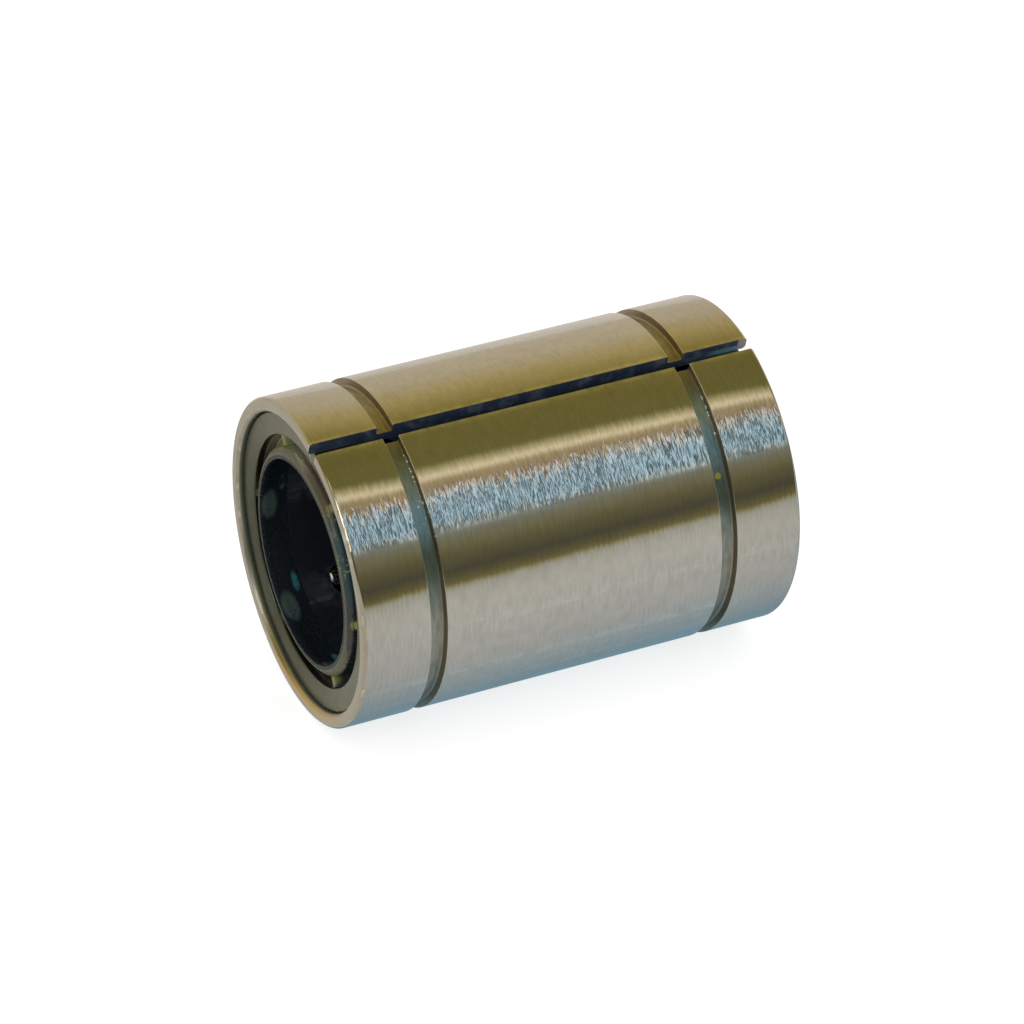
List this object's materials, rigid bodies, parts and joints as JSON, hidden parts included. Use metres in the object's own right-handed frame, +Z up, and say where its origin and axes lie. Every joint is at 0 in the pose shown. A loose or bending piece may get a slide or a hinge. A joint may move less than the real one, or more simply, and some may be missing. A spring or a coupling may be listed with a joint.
{
  "type": "linear ball bearing",
  "caption": "Sealed linear ball bearing with recirculating balls, retaining-ring grooves and a slit sleeve for clearance adjustment.",
  "frame": {"origin": "middle of the bearing, on its axis", "axes": "+X along the bearing's axis, +Z up as it lies on its side, with the slit 17 degrees from +Z towards -Y"},
  "size_m": [0.045, 0.032, 0.032],
  "materials": {
    "ground_sleeve_steel": "ground round the axis",
    "end_ring_steel": "satin, oiled",
    "seal_rubber": "moulded, oiled",
    "retainer_plastic": "moulded, oiled",
    "ball_steel": "polished"
  },
  "bodies": {
    "bearing_shell": {"outer_sleeve": "ground_sleeve_steel", "ball_retainer": "retainer_plastic", "front_end_ring": "end_ring_steel", "rear_end_ring": "end_ring_steel", "front_seal": "seal_rubber", "rear_seal": "seal_rubber"},
    "loaded_balls_1": {"loaded_balls_1": "ball_steel"},
    "return_balls_1": {"return_balls_1": "ball_steel"},
    "front_turn_balls_1": {"front_turn_balls_1": "ball_steel"},
    "rear_turn_balls_1": {"rear_turn_balls_1": "ball_steel"},
    "loaded_balls_2": {"loaded_balls_2": "ball_steel"},
    "return_balls_2": {"return_balls_2": "ball_steel"},
    "front_turn_balls_2": {"front_turn_balls_2": "ball_steel"},
    "rear_turn_balls_2": {"rear_turn_balls_2": "ball_steel"},
    "loaded_balls_3": {"loaded_balls_3": "ball_steel"},
    "return_balls_3": {"return_balls_3": "ball_steel"},
    "front_turn_balls_3": {"front_turn_balls_3": "ball_steel"},
    "rear_turn_balls_3": {"rear_turn_balls_3": "ball_steel"},
    "loaded_balls_4": {"loaded_balls_4": "ball_steel"},
    "return_balls_4": {"return_balls_4": "ball_steel"},
    "front_turn_balls_4": {"front_turn_balls_4": "ball_steel"},
    "rear_turn_balls_4": {"rear_turn_balls_4": "ball_steel"},
    "loaded_balls_5": {"loaded_balls_5": "ball_steel"},
    "return_balls_5": {"return_balls_5": "ball_steel"},
    "front_turn_balls_5": {"front_turn_balls_5": "ball_steel"},
    "rear_turn_balls_5": {"rear_turn_balls_5": "ball_steel"},
    "loaded_balls_6": {"loaded_balls_6": "ball_steel"},
    "return_balls_6": {"return_balls_6": "ball_steel"},
    "front_turn_balls_6": {"front_turn_balls_6": "ball_steel"},
    "rear_turn_balls_6": {"rear_turn_balls_6": "ball_steel"}
  },
  "joints": [
    {"name": "loaded_row_1_travel", "type": "slide", "parent": "bearing_shell", "child": "loaded_balls_1", "axis": [1, 0, 0], "range_m": [0, 0.00328]},
    {"name": "return_row_1_travel", "type": "slide", "parent": "bearing_shell", "child": "return_balls_1", "axis": [-1, 0, 0], "range_m": [0, 0.00328]},
    {"name": "front_turn_1_swing", "type": "hinge", "parent": "bearing_shell", "child": "front_turn_balls_1", "pos_m": [-0.0131, 0.01147, 0.00282], "axis": [0, -0.9985, -0.0546], "range_deg": [0, 90]},
    {"name": "rear_turn_1_swing", "type": "hinge", "parent": "bearing_shell", "child": "rear_turn_balls_1", "pos_m": [0.0131, 0.01147, 0.00282], "axis": [0, -0.9985, -0.0546], "range_deg": [0, 90]},
    {"name": "loaded_row_2_travel", "type": "slide", "parent": "bearing_shell", "child": "loaded_balls_2", "axis": [1, 0, 0], "range_m": [0, 0.00328]},
    {"name": "return_row_2_travel", "type": "slide", "parent": "bearing_shell", "child": "return_balls_2", "axis": [-1, 0, 0], "range_m": [0, 0.00328]},
    {"name": "front_turn_2_swing", "type": "hinge", "parent": "bearing_shell", "child": "front_turn_balls_2", "pos_m": [-0.0131, 0.00329, 0.01134], "axis": [0, -0.452, -0.892], "range_deg": [0, 90]},
    {"name": "rear_turn_2_swing", "type": "hinge", "parent": "bearing_shell", "child": "rear_turn_balls_2", "pos_m": [0.0131, 0.00329, 0.01134], "axis": [0, -0.452, -0.892], "range_deg": [0, 90]},
    {"name": "loaded_row_3_travel", "type": "slide", "parent": "bearing_shell", "child": "loaded_balls_3", "axis": [1, 0, 0], "range_m": [0, 0.00328]},
    {"name": "return_row_3_travel", "type": "slide", "parent": "bearing_shell", "child": "return_balls_3", "axis": [-1, 0, 0], "range_m": [0, 0.00328]},
    {"name": "front_turn_3_swing", "type": "hinge", "parent": "bearing_shell", "child": "front_turn_balls_3", "pos_m": [-0.0131, -0.00818, 0.00852], "axis": [0, 0.5465, -0.8374], "range_deg": [0, 90]},
    {"name": "rear_turn_3_swing", "type": "hinge", "parent": "bearing_shell", "child": "rear_turn_balls_3", "pos_m": [0.0131, -0.00818, 0.00852], "axis": [0, 0.5465, -0.8374], "range_deg": [0, 90]},
    {"name": "loaded_row_4_travel", "type": "slide", "parent": "bearing_shell", "child": "loaded_balls_4", "axis": [1, 0, 0], "range_m": [0, 0.00328]},
    {"name": "return_row_4_travel", "type": "slide", "parent": "bearing_shell", "child": "return_balls_4", "axis": [-1, 0, 0], "range_m": [0, 0.00328]},
    {"name": "front_turn_4_swing", "type": "hinge", "parent": "bearing_shell", "child": "front_turn_balls_4", "pos_m": [-0.0131, -0.01147, -0.00282], "axis": [0, 0.9985, 0.0546], "range_deg": [0, 90]},
    {"name": "rear_turn_4_swing", "type": "hinge", "parent": "bearing_shell", "child": "rear_turn_balls_4", "pos_m": [0.0131, -0.01147, -0.00282], "axis": [0, 0.9985, 0.0546], "range_deg": [0, 90]},
    {"name": "loaded_row_5_travel", "type": "slide", "parent": "bearing_shell", "child": "loaded_balls_5", "axis": [1, 0, 0], "range_m": [0, 0.00328]},
    {"name": "return_row_5_travel", "type": "slide", "parent": "bearing_shell", "child": "return_balls_5", "axis": [-1, 0, 0], "range_m": [0, 0.00328]},
    {"name": "front_turn_5_swing", "type": "hinge", "parent": "bearing_shell", "child": "front_turn_balls_5", "pos_m": [-0.0131, -0.00329, -0.01134], "axis": [0, 0.452, 0.892], "range_deg": [0, 90]},
    {"name": "rear_turn_5_swing", "type": "hinge", "parent": "bearing_shell", "child": "rear_turn_balls_5", "pos_m": [0.0131, -0.00329, -0.01134], "axis": [0, 0.452, 0.892], "range_deg": [0, 90]},
    {"name": "loaded_row_6_travel", "type": "slide", "parent": "bearing_shell", "child": "loaded_balls_6", "axis": [1, 0, 0], "range_m": [0, 0.00328]},
    {"name": "return_row_6_travel", "type": "slide", "parent": "bearing_shell", "child": "return_balls_6", "axis": [-1, 0, 0], "range_m": [0, 0.00328]},
    {"name": "front_turn_6_swing", "type": "hinge", "parent": "bearing_shell", "child": "front_turn_balls_6", "pos_m": [-0.0131, 0.00818, -0.00852], "axis": [0, -0.5465, 0.8374], "range_deg": [0, 90]},
    {"name": "rear_turn_6_swing", "type": "hinge", "parent": "bearing_shell", "child": "rear_turn_balls_6", "pos_m": [0.0131, 0.00818, -0.00852], "axis": [0, -0.5465, 0.8374], "range_deg": [0, 90]}
  ],
  "couplings": [
    {"joint": "return_row_1_travel", "follows": "loaded_row_1_travel", "ratio": 1},
    {"joint": "front_turn_1_swing", "follows": "loaded_row_1_travel", "rad_per_m": 479.63},
    {"joint": "rear_turn_1_swing", "follows": "loaded_row_1_travel", "rad_per_m": 479.63},
    {"joint": "return_row_2_travel", "follows": "loaded_row_2_travel", "ratio": 1},
    {"joint": "front_turn_2_swing", "follows": "loaded_row_2_travel", "rad_per_m": 479.63},
    {"joint": "rear_turn_2_swing", "follows": "loaded_row_2_travel", "rad_per_m": 479.63},
    {"joint": "return_row_3_travel", "follows": "loaded_row_3_travel", "ratio": 1},
    {"joint": "front_turn_3_swing", "follows": "loaded_row_3_travel", "rad_per_m": 479.63},
    {"joint": "rear_turn_3_swing", "follows": "loaded_row_3_travel", "rad_per_m": 479.63},
    {"joint": "return_row_4_travel", "follows": "loaded_row_4_travel", "ratio": 1},
    {"joint": "front_turn_4_swing", "follows": "loaded_row_4_travel", "rad_per_m": 479.63},
    {"joint": "rear_turn_4_swing", "follows": "loaded_row_4_travel", "rad_per_m": 479.63},
    {"joint": "return_row_5_travel", "follows": "loaded_row_5_travel", "ratio": 1},
    {"joint": "front_turn_5_swing", "follows": "loaded_row_5_travel", "rad_per_m": 479.63},
    {"joint": "rear_turn_5_swing", "follows": "loaded_row_5_travel", "rad_per_m": 479.63},
    {"joint": "return_row_6_travel", "follows": "loaded_row_6_travel", "ratio": 1},
    {"joint": "front_turn_6_swing", "follows": "loaded_row_6_travel", "rad_per_m": 479.63},
    {"joint": "rear_turn_6_swing", "follows": "loaded_row_6_travel", "rad_per_m": 479.63}
  ]
}
